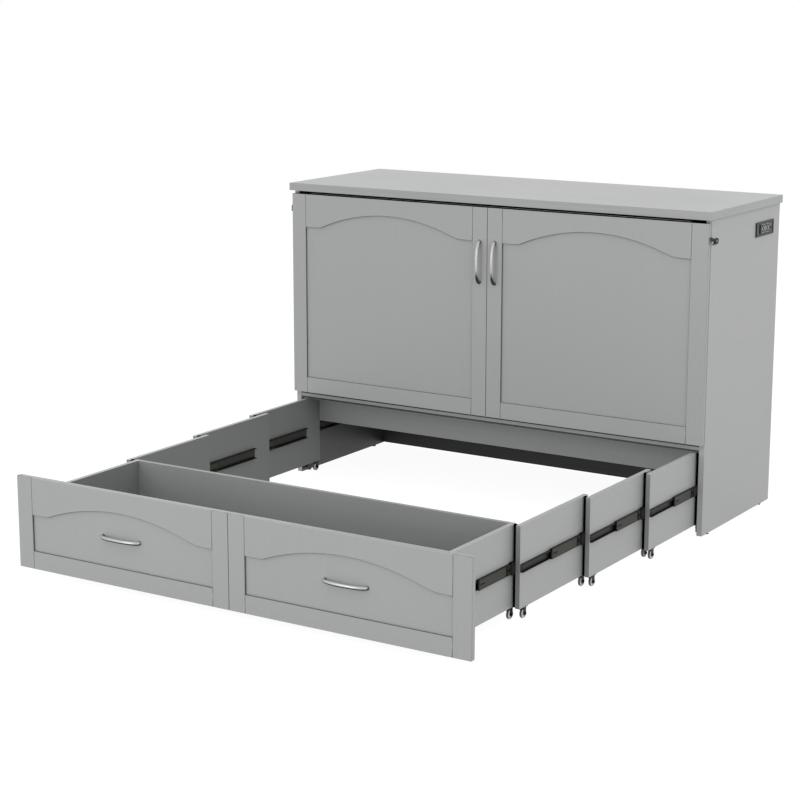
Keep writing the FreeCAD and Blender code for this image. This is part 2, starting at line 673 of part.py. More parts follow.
def drawer():
    """The wide framed front with a shallow box behind it, the first of the sliding stages."""
    front = pulled_out("0", 1)
    outer = outer_face(1)
    node(box("drawer_front_board", "-half_front", f"{front} + frame_thick", "front_lift",
             "2*half_front", "board_thick", "front_tall"))
    node(framed_front("drawer_front_frame", front, "front_lift", "front_high", "drawer_arch_drop",
                      "drawer_arch_rise"))
    node(group("drawer_handles", [
        bow_handle(f"drawer_handle_{name}", False, f"{side}*drawer_handle_offset",
                   f"{front} + frame_thick", "drawer_handle_level")
        for name, side in SIDES.items()]))
    for name, side in SIDES.items():
        node(box(f"drawer_side_{name}", both_ways(side, f"{outer} - stage_thick", outer),
                 f"{front} + door_thick", "caster_height", "stage_thick", "drawer_depth",
                 "stage_tall"))
    half = f"({outer} - stage_thick)"
    node(box("drawer_back", f"-{half}", f"{front} + door_thick + drawer_depth - stage_thick",
             "caster_height", f"2*{half}", "stage_thick", "stage_tall"))
    node(box("drawer_bottom", f"-{half}", f"{front} + door_thick", "caster_height + floor_lift",
             f"2*{half}", "drawer_depth - stage_thick", "floor_thick"))
    node(group("drawer_slide_rails", slide_rails(1)))
    casters(1, "drawer")


def telescoping_frame():
    drawer()
    for number in STAGES:
        stage(number)
    for number in (1, 2, 3, 4):
        node(group(f"slide_middle_{number}", middle_member(number)))
    node(group("cabinet_slide_rails", slide_rails(5)))


def check_and_export():
    """Stops on anything that failed, then writes one file for each sub-part."""
    doc.recompute()
    for item in doc.Objects:
        if "Invalid" in item.State or "Error" in item.State:
            raise RuntimeError(f"{item.Name} failed: {item.State}")
    os.makedirs("parts", exist_ok=True)
    for piece in nodes:
        shape = piece.Shape
        if shape.isNull() or not shape.isValid() or not shape.Solids:
            raise RuntimeError(f"{piece.Label} is not a valid solid")
        shape.exportStep(f"parts/{piece.Label}.step")
    print(len(nodes), "sub-parts written")


carcase()
levelling_feet()
power_outlet()
flap_and_leaf()
latches()
telescoping_frame()
check_and_export()
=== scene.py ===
"""Cabinet bed, drawer out and front closed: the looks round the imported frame, in metres."""
import math

import bpy
import numpy as np
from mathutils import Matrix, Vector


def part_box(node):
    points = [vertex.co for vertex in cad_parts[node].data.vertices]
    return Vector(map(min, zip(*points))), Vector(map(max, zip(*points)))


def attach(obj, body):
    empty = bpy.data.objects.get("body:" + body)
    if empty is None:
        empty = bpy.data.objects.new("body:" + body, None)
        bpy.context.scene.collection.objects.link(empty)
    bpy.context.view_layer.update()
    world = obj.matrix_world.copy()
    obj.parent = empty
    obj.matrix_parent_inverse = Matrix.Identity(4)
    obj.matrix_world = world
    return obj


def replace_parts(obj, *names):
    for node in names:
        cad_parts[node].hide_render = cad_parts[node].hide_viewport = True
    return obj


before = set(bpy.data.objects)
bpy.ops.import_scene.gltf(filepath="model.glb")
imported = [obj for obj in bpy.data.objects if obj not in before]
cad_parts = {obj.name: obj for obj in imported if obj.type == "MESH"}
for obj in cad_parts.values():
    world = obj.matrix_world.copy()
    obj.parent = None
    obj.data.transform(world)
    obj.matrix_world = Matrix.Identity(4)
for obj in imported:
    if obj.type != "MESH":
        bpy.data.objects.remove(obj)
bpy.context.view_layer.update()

# ---------------------------------------------------------------- carcase boards
# The top, sides, back and head deck are melamine-faced particle board: a grey foil pressed on with
# a faint straight grain, satin to the touch. Their edges carry a thin band, rounded over by
# a millimetre. Painted shade: the foil inside the cabinet is darker, the back is near-black, the
# top is a shade darker than the sides to offset the light from above, and the deck's front band
# is darker, with bands of painted shadow at its top and foot.
EDGE_ROUND = 0.0011
CLOSE_ROUND = 0.0005         # where two boards meet edge to edge
ROUND_STEPS = 3
SHARP_ANGLE = 40             # in degrees: sharper edges than this are rounded or shaded hard
GRAIN_WIDTH = 0.009          # the foil's real grain is under 1 mm, too fine to show from this far
GRAIN_LENGTH = 0.55
CLOUD_SIZE = 0.6
LIGHTEST, DARKEST = 0.14, 0.38          # range of the streaks times the cloud
FACE_COSINE = 0.7                       # a face that looks along an axis, apart from its arrises
OUTSIDE_FOIL, OUTSIDE_GRAIN = "b9bbba", "b6b8b7"
# Painted shade: the inner faces of the sides take this darker tone for the shade inside the
# cabinet.
CABINET_INSIDE_SHADE = "5c5e5d"
# Painted shade: the top's foil is a shade darker than the sides', to offset the stronger light from
# above.
TOP_FOIL_SHADED, TOP_GRAIN_SHADED = "b1b3b2", "a9abaa"
# Painted shade: the back is near-black for the deep shade inside the cabinet.
BACK_SHADE, BACK_SHADE_GRAIN = "242525", "222323"
# Painted shade: the deck's front band is darker for the shade under the closed front, with a
# painted shadow band at its top and a darker band of painted shade at its foot.
DECK_EDGE_SHADE = "a8aaa9"
DECK_TOP_SHADOW, DECK_TOP_SHADOW_HEIGHT = "2a2b2b", 0.0085
DECK_FOOT_SHADE, DECK_FOOT_SHADE_HEIGHT = "3c3d3d", 0.0075
DECK_ARRIS = 0.0006


def linear(code):
    """Linear RGBA of an sRGB hex colour, by the sRGB transfer curve."""
    parts = np.array([int(code[k:k + 2], 16) for k in (0, 2, 4)]) / 255
    light = np.where(parts <= 0.04045, parts / 12.92, ((parts + 0.055) / 1.055) ** 2.4)
    return (*light.tolist(), 1.0)


def add_node(tree, kind, inputs=None, **settings):
    """Adds a node with its settings. Each input is a value, or the socket that feeds it."""
    node = tree.nodes.new(kind)
    for name, setting in settings.items():
        setattr(node, name, setting)
    for name, value in (inputs or {}).items():
        if isinstance(value, bpy.types.NodeSocket):
            tree.links.new(value, node.inputs[name])
        else:
            node.inputs[name].default_value = value
    return node


def new_material(name):
    """An empty material, its node tree, and the node that gives places and normals on a piece."""
    material = bpy.data.materials.new(name)
    material.use_nodes = True
    material.node_tree.nodes.clear()
    return material, material.node_tree, add_node(material.node_tree, "ShaderNodeTexCoord")


def surfaced(material, shader):
    """A material finished with its surface shader."""
    add_node(material.node_tree, "ShaderNodeOutputMaterial", {"Surface": shader.outputs[0]})
    return material


def maths(tree, operation, *operands):
    """The result of one Math node. Each operand is a number or a socket."""
    return add_node(tree, "ShaderNodeMath", dict(enumerate(operands)),
                    operation=operation).outputs[0]


def noise(tree, place, per_metre, detail=2.0):
    """A soft noise over the piece, by its number of cells in a metre."""
    return add_node(tree, "ShaderNodeTexNoise",
                    {"Scale": per_metre, "Detail": detail,
                     "Vector": place.outputs["Object"]}).outputs["Fac"]


def spread(tree, value, low, high):
    """A value from 0 to 1, moved to another range."""
    return add_node(tree, "ShaderNodeMapRange",
                    {"Value": value, "To Min": low, "To Max": high}).outputs[0]


def mixed(tree, share, first, second):
    """Two colours mixed by a share of the second. Each is a hex colour or a socket."""
    first_socket, second_socket, result_socket = 6, 7, 2     # the colour sockets of a Mix node
    first, second = [linear(colour) if isinstance(colour, str) else colour
                     for colour in (first, second)]
    return add_node(tree, "ShaderNodeMix", {0: share, first_socket: first, second_socket: second},
                    data_type="RGBA").outputs[result_socket]


def coordinate(tree, place, axis, output="Object"):
    """One coordinate of the place on a piece, or with Normal of its surface's direction."""
    return add_node(tree, "ShaderNodeSeparateXYZ", {0: place.outputs[output]}).outputs[axis]


def facing(tree, place, axis, cosine, side=0):
    """1 where the surface turns to an axis by more than a cosine: to one side of it, or to both."""
    normal = coordinate(tree, place, axis, "Normal")
    turn = maths(tree, "MULTIPLY", normal, float(side)) if side else maths(tree, "ABSOLUTE", normal)
    return maths(tree, "GREATER_THAN", turn, cosine)


def between(tree, value, low, high):
    """1 where a value lies between two limits."""
    return maths(tree, "COMPARE", value, (low + high) / 2, (high - low) / 2)


def together(tree, operation, *masks):
    """Masks joined one after another: with MULTIPLY all of them, with MAXIMUM any of them."""
    mask = masks[0]
    for other in masks[1:]:
        mask = maths(tree, operation, mask, other)
    return mask


def foil(name, grain, face, streak, inner_side=0, inside=None, edge=None, groove_shade=None, bands=(),
         roughness=0.42):
    """Melamine foil on board: streaks along one axis, a slow cloud, and other tones where named.

    inner_side is the sign of X that the inner face looks to, in the painted shade tone inside, or 0
    where both faces are alike. edge is the tone of the faces that look along Y: a duller band on
    the runs, painted shade on the deck. The groove tone is painted shade, with the box in which
    arrises that turn sideways, up or down have it. bands are tones of painted shade, each between
    two levels.
    """
    material, tree, place = new_material(name)
    scale = [1 / GRAIN_WIDTH] * 3
    scale["XYZ".index(grain)] = 1 / GRAIN_LENGTH
    stretched = add_node(tree, "ShaderNodeMapping",
                         {"Scale": scale, "Vector": place.outputs["Object"]})
    streaks = add_node(tree, "ShaderNodeTexNoise",
                       {"Scale": 1.0, "Detail": 4.0, "Roughness": 0.62,
                        "Vector": stretched.outputs["Vector"]}).outputs["Fac"]
    clouded = maths(tree, "MULTIPLY", streaks, noise(tree, place, 1 / CLOUD_SIZE, 1.0))
    share = add_node(tree, "ShaderNodeMapRange",
                     {"Value": clouded, "From Min": LIGHTEST, "From Max": DARKEST}).outputs[0]
    tones = []
    # Painted shade on the inner faces.
    if inner_side:
        tones.append((inside, facing(tree, place, "X", FACE_COSINE, inner_side)))
    # Faces along Y: a duller edge band on the runs, painted shade on the deck's front band.
    if edge:
        tones.append((edge, facing(tree, place, "Y", FACE_COSINE)))
    # Painted shade on the arrises and step walls that turn sideways, up or down, inside the rim.
    if groove_shade:
        shade, (low, high) = groove_shade
        shaded_arrises = together(tree, "MAXIMUM", facing(tree, place, "X", GROOVE_COSINE_ACROSS),
                               facing(tree, place, "Z", GROOVE_COSINE_UP))
        across = between(tree, coordinate(tree, place, "X"), low.x + RIM_KEPT, high.x - RIM_KEPT)
        up = between(tree, coordinate(tree, place, "Z"), low.z + RIM_KEPT, high.z - RIM_KEPT)
        tones.append((shade, together(tree, "MULTIPLY", shaded_arrises, across, up)))
    # Bands of painted shade between two levels.
    for shade, low_level, high_level in bands:
        tones.append((shade, between(tree, coordinate(tree, place, "Z"), low_level, high_level)))
    colour = mixed(tree, share, face, streak)
    for shade, mask in tones:
        colour = mixed(tree, mask, colour, shade)
    relief = add_node(tree, "ShaderNodeBump",
                      {"Strength": 0.05, "Distance": 0.0002, "Height": streaks})
    return surfaced(material, add_node(tree, "ShaderNodeBsdfPrincipled", {
        "Base Color": colour, "IOR": 1.5, "Normal": relief.outputs["Normal"],
        "Roughness": spread(tree, streaks, roughness - 0.04, roughness + 0.05)}))


def finish_node(name, material):
    """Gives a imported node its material, in place of the plain one it came with."""
    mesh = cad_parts[name].data
    mesh.materials.clear()
    mesh.materials.append(material)


def shade_evenly(board):
    """Weights a board's shading by the size of its faces, so that flat faces look flat."""
    level = board.modifiers.new("even shading", "WEIGHTED_NORMAL")
    level.weight = 100


def ease_edges(name, width):
    """Rounds a packed board's edges: its triangles are welded, then each sharp edge is bevelled."""
    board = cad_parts[name]
    weld = board.modifiers.new("one skin", "WELD")
    weld.merge_threshold = width / 50
    bevel = board.modifiers.new("rounded edge", "BEVEL")
    bevel.width = width
    bevel.segments = ROUND_STEPS
    bevel.limit_method = "ANGLE"
    bevel.angle_limit = math.radians(SHARP_ANGLE)
    shade_evenly(board)


# The deck's top and foot bands are painted shadow and painted shade.
deck_foot, deck_top = [corner.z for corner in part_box("head_deck")]
DECK_SHADE_BANDS = ((DECK_TOP_SHADOW, deck_top - DECK_TOP_SHADOW_HEIGHT, deck_top - DECK_ARRIS),
              (DECK_FOOT_SHADE, deck_foot + DECK_ARRIS, deck_foot + DECK_FOOT_SHADE_HEIGHT))
for node, width, material in (
        ("top_board", EDGE_ROUND, foil("grey_foil_top_shaded", "X", TOP_FOIL_SHADED, TOP_GRAIN_SHADED, roughness=0.38)),
        ("side_panel_left", CLOSE_ROUND,
         foil("grey_foil_left_boards", "Y", OUTSIDE_FOIL, OUTSIDE_GRAIN, 1, CABINET_INSIDE_SHADE)),
        ("side_panel_right", CLOSE_ROUND,
         foil("grey_foil_right_boards", "Y", OUTSIDE_FOIL, OUTSIDE_GRAIN, -1, CABINET_INSIDE_SHADE)),
        ("back_panel", EDGE_ROUND,
         foil("back_foil_painted_shade", "X", BACK_SHADE, BACK_SHADE_GRAIN, roughness=0.6)),
        ("head_deck", EDGE_ROUND,
         foil("grey_foil_deck", "X", OUTSIDE_FOIL, OUTSIDE_GRAIN, edge=DECK_EDGE_SHADE,
              bands=DECK_SHADE_BANDS))):
    finish_node(node, material)
    ease_edges(node, width)

# ---------------------------------------------------------------- fold-down front and drawer front
# Each front is one wide board with thin stiles and rails planted on it, so that it passes for
# a pair of doors. The rails' arches are routed: a crisp corner where an arch leaves the left
# shoulder, and a softer run-out on the right. Every strip's front arris is rounded over. Inside
# the frames' rim, the arrises and step walls that turn sideways, up or down are painted a darker
# shade.
STILE_WIDTH = 0.059
RAIL_HEIGHT = 0.058
MIDDLE_SEAM = 0.0006
ARCH_DROP, FLAP_ARCH_RISE, DRAWER_ARCH_RISE = 0.119, 0.061, 0.055
SHOULDER_LENGTH = 0.064
RUN_OUT = 0.007
STRIP_ROUND = 0.0016
RIM_KEPT = 0.0020            # the frames' outer rim keeps the tone of the face
GROOVE_COSINE_ACROSS, GROOVE_COSINE_UP = 0.35, 0.3
# Painted shade: the fronts' foil is a shade darker than the sides', for how the light falls on
# them.
FRONT_FOIL_SHADED, FRONT_GRAIN_SHADED, GROOVE_SHADE = "b2b4b3", "b0b2b1", "6e706f"
ARCH_STEPS, SHOULDER_STEPS, EASE_STEPS = 49, 13, 4


def arched_edge(left, right, shoulder_level, rise):
    """The lower edge of a top rail, left to right: shoulder, circular arch, shoulder.

    The arch's height above the shoulders is a circle's; on the right half it is joined to the
    shoulder by the smooth maximum (a + sqrt(a*a + k*k))/2, with k fading in from the middle.
    """
    middle, chord = (left + right) / 2, right - left - 2 * SHOULDER_LENGTH
    radius = (chord ** 2 / 4 + rise ** 2) / (2 * rise)
    start, end = left + SHOULDER_LENGTH, right - SHOULDER_LENGTH
    x = np.concatenate([[left], np.linspace(start, end, ARCH_STEPS),
                        np.linspace(end, right, SHOULDER_STEPS)[1:]])
    height = rise - radius + np.sqrt(radius ** 2 - (x - middle) ** 2)
    softness = RUN_OUT * np.clip((x - middle) / (chord / 2), 0, 1) ** 4
    height = np.where(x <= start, 0, (height + np.sqrt(height ** 2 + softness ** 2)) / 2)
    height[-1] = 0
    return np.column_stack([x, shoulder_level + height])


def rectangle(left, right, low, high):
    """Corners of an upright rectangle, counter-clockwise seen from the front."""
    return np.array([(left, low), (right, low), (right, high), (left, high)])


def walls(index):
    """Four-sided faces between each closed ring of point numbers and the next."""
    nxt = np.roll(index, -1, 1)
    return np.stack([index[:-1], nxt[:-1], nxt[1:], index[1:]], -1).reshape(-1, 4).tolist()


def tube(rings):
    """Points and faces of a tube through rings of points, with a flat cap at each end."""
    index = np.arange(rings.shape[0] * rings.shape[1]).reshape(rings.shape[:2])
    caps = [index[0][::-1].tolist(), index[-1].tolist()]
    return rings.reshape(-1, 3), walls(index) + caps


def turned_over(faces):
    """The same faces, looking the other way."""
    return [face[::-1] for face in faces]


def eased_strip(outline, back, front, ease=STRIP_ROUND):
    """A flat strip whose front edge is rounded: rings of its outline, drawn in along an arc.

    At angle t the outline moves in by ease*(1 - cos t), mitred at its corners, while the depth
    goes to front + ease*(1 - sin t). The outline is (x, z), counter-clockwise from the front.
    """
    ahead = np.roll(outline, -1, 0) - outline
    ahead /= np.linalg.norm(ahead, axis=1, keepdims=True)
    inward = np.column_stack([-ahead[:, 1], ahead[:, 0]])
    before = np.roll(inward, 1, 0)
    mitre = (inward + before) / (1 + (inward * before).sum(1, keepdims=True))
    angle = np.linspace(0, math.pi / 2, EASE_STEPS)
    draw_in = np.concatenate([[0], ease * (1 - np.cos(angle))])
    depth = np.concatenate([[back], front + ease * (1 - np.sin(angle))])
    flat = outline[None] + draw_in[:, None, None] * mitre[None]
    return tube(np.stack(np.broadcast_arrays(flat[..., 0], depth[:, None], flat[..., 1]), -1))


def joined(parts):
    """One list of points and one of faces out of several (points, faces) pairs."""
    offsets = np.cumsum([0] + [len(points) for points, _ in parts[:-1]])
    faces = [[corner + int(offset) for corner in face]
             for offset, (_, some) in zip(offsets, parts) for face in some]
    return np.concatenate([points for points, _ in parts]), faces


def piece(name, points, faces, material, body, slot, smooth_angle=None):
    """A mesh in place, with its material and its body. slot is not used."""
    mesh = bpy.data.meshes.new(name)
    mesh.from_pydata(np.asarray(points).tolist(), [], faces)
    mesh.materials.append(material)
    mesh.shade_smooth()
    if smooth_angle is not None:
        mesh.set_sharp_from_angle(angle=math.radians(smooth_angle))
    made = bpy.data.objects.new(name, mesh)
    bpy.context.scene.collection.objects.link(made)
    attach(made, body)
    return made


def planted_frame(name, node, arch_rise, body):
    """Stiles, rails and arched rails of both halves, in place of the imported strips."""
    low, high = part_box(node)
    strips = []
    for left, right in ((low.x, 0), (0, high.x)):
        start, end = left or MIDDLE_SEAM / 2, right or -MIDDLE_SEAM / 2
        inner_left, inner_right = left + STILE_WIDTH, right - STILE_WIDTH
        arch = arched_edge(inner_left, inner_right, high.z - ARCH_DROP, arch_rise)
        top_rail = np.concatenate([arch, [(inner_right, high.z), (inner_left, high.z)]])
        for outline in (rectangle(start, inner_left, low.z, high.z),
                        rectangle(inner_right, end, low.z, high.z),
                        rectangle(inner_left, inner_right, low.z, low.z + RAIL_HEIGHT), top_rail):
            strips.append(eased_strip(outline, high.y, low.y))
    # The frames take the fronts' darker foil, with painted shade on the arrises and step walls.
    material = foil(f"grey_foil_{node}", "Z", FRONT_FOIL_SHADED, FRONT_GRAIN_SHADED, groove_shade=(GROOVE_SHADE, (low, high)))
    made = piece(name, *joined(strips), material, body, "grey_board")
    shade_evenly(made)
    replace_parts(made, node)


# The boards behind the strips take the same darker foil, painted shade.
foil_upright = foil("grey_foil_fronts_shaded", "Z", FRONT_FOIL_SHADED, FRONT_GRAIN_SHADED)
for node in ("flap_board", "drawer_front_board"):
    finish_node(node, foil_upright)
    ease_edges(node, CLOSE_ROUND)
planted_frame("flap_stiles_and_rails", "flap_frame", FLAP_ARCH_RISE, "flap")
planted_frame("drawer_stiles_and_rails", "drawer_front_frame", DRAWER_ARCH_RISE, "drawer")

# ---------------------------------------------------------------- fold-out leaf and painted shade in the top gap
# The leaf is the same board as the front, folded flat against its back. Its upper edge band is
# near-black, and a near-black matt strip is glued along the front's top edge, under the cabinet's
# top: both are painted shade in the gap below the top.
LEAF_EDGE_SHADE, LEAF_EDGE_HEIGHT, LEAF_EDGE_SPARE = "1c1d1d", 0.0030, 0.001
SHADE_STRIP_HEIGHT, SHADE_STRIP_INSET, SHADE_STRIP_END, SHADE_STRIP_ROUND = 0.0012, 0.0006, 0.012, 0.0003
SUNK = 0.0002                # how far a piece that is stuck on reaches into what carries it


def painted_shade_felt(name, colour):
    """A near-black matt sheet that stands for painted shade: no sheen to speak of, with a fine
    fibrous relief.
    """
    material, tree, place = new_material(name)
    relief = add_node(tree, "ShaderNodeBump", {"Strength": 0.3, "Distance": 0.0003,
                                               "Height": noise(tree, place, 1200.0, 3.0)})
    return surfaced(material, add_node(tree, "ShaderNodeBsdfPrincipled", {
        "Base Color": linear(colour), "Roughness": 0.95, "Specular IOR Level": 0.0,
        "Normal": relief.outputs["Normal"]}))


def lying_strip(left, right, front, back, level, height):
    """A strip on a level face: eased_strip's rings, with its depth turned to point up."""
    points, faces = eased_strip(rectangle(left, right, -back, -front),
                                -level, -(level + height), SHADE_STRIP_ROUND)
    return np.column_stack([points[:, 0], -points[:, 2], -points[:, 1]]), turned_over(faces)


leaf_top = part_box("fold_out_leaf")[1].z
# The leaf's upper edge band is painted shade.
leaf_shade_bands = ((LEAF_EDGE_SHADE, leaf_top - LEAF_EDGE_HEIGHT, leaf_top + LEAF_EDGE_SPARE),)
finish_node("fold_out_leaf",
            foil("grey_foil_leaf", "X", OUTSIDE_FOIL, OUTSIDE_GRAIN, bands=leaf_shade_bands))
ease_edges("fold_out_leaf", EDGE_ROUND)
flap_low, flap_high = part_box("flap_frame")[0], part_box("flap_board")[1]
# A near-black strip along the front's top edge, painted shade for the top gap.
top_gap_shade_strip = lying_strip(flap_low.x + SHADE_STRIP_END, flap_high.x - SHADE_STRIP_END, flap_low.y + SHADE_STRIP_INSET,
                         flap_high.y - SHADE_STRIP_INSET, flap_high.z - SUNK, SHADE_STRIP_HEIGHT)
piece("flap_top_shade_strip", *top_gap_shade_strip, painted_shade_felt("top_gap_shade_black", "060606"), "flap", "grey_board")

# ---------------------------------------------------------------- drawer and side runs
# The drawer's sides and the three pairs of sliding sides are 15 mm boards with grey foil outside,
# a duller band along each edge, and a darker tone painted on their inner faces for the shade there.
# The drawer's back and bottom and the cross board, which ties the rear ends of the outermost pair,
# take darker foils as painted shade.
RUN_ROUND = 0.0009
# Painted shade: the runs' inner faces take the darker tone.
RUN_INSIDE_SHADE, RUN_EDGE = "818483", "949695"
STAGES = ("drawer", "stage_2", "stage_3", "stage_4", "cabinet")

for side, inner_side in (("left", 1), ("right", -1)):
    material = foil(f"grey_foil_{side}_runs", "Y", OUTSIDE_FOIL, OUTSIDE_GRAIN, inner_side,
                    RUN_INSIDE_SHADE, RUN_EDGE)
    for stage in STAGES[:4]:
        finish_node(f"{stage}_side_{side}", material)
        ease_edges(f"{stage}_side_{side}", RUN_ROUND)
# Painted shade: the drawer's back and bottom and the cross board are darker for the shade they sit
# in.
for node, material in (("drawer_back", foil("shaded_foil_drawer_back", "X", "9fa2a1", "9b9e9d")),
                       ("drawer_bottom", foil("shaded_foil_drawer_bottom", "X", "838685", "7f8281")),
                       ("stage_4_cross_board", foil("shaded_grey_foil_cross", "X", "a0a2a1", "9d9f9e"))):
    finish_node(node, material)
    ease_edges(node, RUN_ROUND)

# ---------------------------------------------------------------- bow handles
# Four cast zinc bow pulls in brushed nickel, with a dark reflection painted on the underside. Each
# bows out between two feet, with an oval bar that lies flat to the hand, and every foot stands on
# a thin near-black seat, painted shade where the foot meets the board. They are screwed on from
# behind.
BOW_HALF_LENGTH, FOOT_SHADE_REACH = 0.0720, 0.0710
BOW_DEPTH = 0.0213
BOW_SQUARENESS = 2.35
BAR_HALF_WIDTH, BAR_HALF_THICK = 0.0062, 0.0046
FOOT_SHADE_RADIUS, FOOT_SHADE_HEIGHT, FOOT_SHADE_ROUND = 0.0065, 0.0010, 0.0004
HANDLE_APART = {"flap": 0.030, "drawer": 0.408}
UNDERSIDE_START, UNDERSIDE_END = -0.08, -0.24     # how far down a face looks, to take the painted dark reflection
BOW_STEPS, BAR_STEPS, OVAL_STEPS = 73, 32, 28


def satin_metal(name, colour, roughness, painted_under_reflection=None):
    """Plated metal: full metallic, with fine cloudy variation in its roughness from polishing.

    The last argument is a dark colour painted on the parts that face downwards: a painted
    reflection of what lies below.
    """
    material, tree, place = new_material(name)
    base = linear(colour)
    if painted_under_reflection:
        down = add_node(tree, "ShaderNodeMapRange", {
            "Value": coordinate(tree, place, "Z", "Normal"),
            "From Min": UNDERSIDE_START, "From Max": UNDERSIDE_END})
        base = mixed(tree, down.outputs[0], colour, painted_under_reflection)
    clouds = noise(tree, place, 250.0, 3.0)
    return surfaced(material, add_node(tree, "ShaderNodeBsdfPrincipled", {
        "Base Color": base, "Metallic": 1.0,
        "Roughness": spread(tree, clouds, roughness * 0.85, roughness * 1.2)}))


def bow_pull(centre, along, across):
    """A bow pull as an oval section carried along half a superellipse that stands on the board.

    At angle t the bar's middle is centre - along*a*C + out*b*S, where C and S are cos t and sin t
    to the power 2/n with their sign; the section is across*w*cos f + normal*h*sin f.
    """
    out = np.array([0, -1, 0])
    t = np.linspace(0, math.pi, BOW_STEPS)[:, None, None]
    f = np.linspace(0, 2 * math.pi, BAR_STEPS, endpoint=False)[None, :, None]
    power = 2 / BOW_SQUARENESS
    way = np.sign(np.cos(t)) * np.abs(np.cos(t)) ** power
    rise = np.abs(np.sin(t)) ** power
    middle = centre - along * BOW_HALF_LENGTH * way + out * BOW_DEPTH * rise
    ahead = np.gradient(middle, axis=0)
    normal = (out * (ahead * along).sum(-1, keepdims=True)
              - along * (ahead * out).sum(-1, keepdims=True))
    normal = normal / np.linalg.norm(normal, axis=-1, keepdims=True)
    points, faces = tube(middle + across * BAR_HALF_WIDTH * np.cos(f)
                         + normal * BAR_HALF_THICK * np.sin(f))
    return points, turned_over(faces) if np.dot(np.cross(across, along), out) > 0 else faces


def oval(middle, half_across, half_up, squareness=2.0, steps=OVAL_STEPS):
    """A superellipse: (cos t, sin t) to the power 2/n with their sign, counter-clockwise."""
    t = np.linspace(0, 2 * math.pi, steps, endpoint=False)
    way = np.column_stack([np.cos(t), np.sin(t)])
    way = np.sign(way) * np.abs(way) ** (2 / squareness)
    return np.array(middle) + way * (half_across, half_up)


# The pulls' downward faces carry a painted dark reflection.
brushed_nickel = satin_metal("brushed_nickel", "bdbdba", 0.36, painted_under_reflection="3c3c3a")
foot_shade_black = satin_metal("foot_shade_black", "2c2c2b", 0.4)
ALONG_X, ALONG_Z = np.array([1.0, 0, 0]), np.array([0, 0, 1.0])
for body, along, across in (("flap", ALONG_Z, ALONG_X), ("drawer", ALONG_X, ALONG_Z)):
    low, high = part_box(f"{body}_handles")
    centres = [np.array([side * HANDLE_APART[body], high.y, (low.z + high.z) / 2])
               for side in (-1, 1)]
    pulls = joined([bow_pull(centre, along, across) for centre in centres])
    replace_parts(piece(f"{body}_bow_pulls", *pulls, brushed_nickel, body, "handle_metal",
                      smooth_angle=SHARP_ANGLE), f"{body}_handles")
    # Near-black seats round each foot: painted shade where the foot meets the board.
    feet = [(centre + end * along * FOOT_SHADE_REACH)[[0, 2]] for centre in centres for end in (-1, 1)]
    foot_shades = [eased_strip(oval(foot, FOOT_SHADE_RADIUS, FOOT_SHADE_RADIUS), high.y, high.y - FOOT_SHADE_HEIGHT,
                         FOOT_SHADE_ROUND) for foot in feet]
    piece(f"{body}_handle_seat_shades", *joined(foot_shades), foot_shade_black, body, "handle_metal",
          smooth_angle=SHARP_ANGLE)

# ---------------------------------------------------------------- ball slides
# Full-extension slides in dark zinc-plated steel, rolled to shape, with near-black lines of
# painted shade along their rolled lips.
# Round-headed screws hold the inner members to the boards. Each middle member has a black
# plastic nose on its front end and a flat black release lever just ahead of the outer board.
SLIDE_LEVEL = sum(corner.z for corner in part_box("slide_middle_1")) / 2
INNER_WEB, MIDDLE_WEB = 0.0015, 0.0109       # the members' faces, out from the board
LIP_LINE, LIP_COSINE = 0.0016, 0.5
INNER_LIP, MIDDLE_LIP, OUTER_LIP = 0.0118, 0.0153, 0.0183     # half heights of the members
RAIL_LENGTH, DRAWER_RAIL_SETBACK, STAGE_RAIL_SETBACK = 0.325, 0.005, 0.001
SCREW_RADIUS, SCREW_HEIGHT = 0.0032, 0.0014
SCREW_PLACES = (0.03, 0.57, 0.93)            # shares of the inner member's length
NOSE_AHEAD, NOSE_HALF_LENGTH, NOSE_HALF_HEIGHT, NOSE_THICK = 0.003, 0.005, 0.0150, 0.0015
NOSE_SQUARENESS, NOSE_OVERLAP = 2.6, 0.001
# Marks lie behind the member's front end and lever parts ahead of the outer board, each by its
# first number. The others are its half length and half height.
NOSE_MARKS = ((0.011, 0.0040, 0.0034), (0.025, 0.0065, 0.0024))
LEVER_PARTS = ((0.045, 0.0060, 0.0146), (0.029, 0.0045, 0.0146), (0.036, 0.0070, 0.0030))
MARK_SQUARENESS, LEVER_SQUARENESS = 3.0, 5.0
MARK_THICK, MARK_ROUND = 0.0004, 0.0001
TURN_STEPS, DOME_STEPS = 24, 6


def plated_steel(name, colour, roughness, lips=()):
    """Zinc-plated sheet: metal with a mottled spangle in gloss, and near-black lines of painted
    shade on each rolled lip.

    lips are half heights about the slide's level, where a painted shade line LIP_LINE wide is
    drawn. Faces that look up or down are painted with it too.
    """
    material, tree, place = new_material(name)
    base = linear(colour)
    # Painted shade: near-black lines along each rolled lip and on faces that look up or down.
    if lips:
        above = maths(tree, "SUBTRACT", coordinate(tree, place, "Z"), SLIDE_LEVEL)
        apart = maths(tree, "ABSOLUTE", above)
        lines = together(tree, "MAXIMUM", facing(tree, place, "Z", LIP_COSINE),
                         *[between(tree, apart, lip - LIP_LINE, lip + LIP_LINE) for lip in lips])
        base = mixed(tree, lines, colour, "0b0b0a")
    spangle = noise(tree, place, 260.0)
    return surfaced(material, add_node(tree, "ShaderNodeBsdfPrincipled", {
        "Base Color": base, "Metallic": 0.45, "Specular IOR Level": 0.25,
        "Roughness": spread(tree, spangle, roughness - 0.08, roughness + 0.1)}))


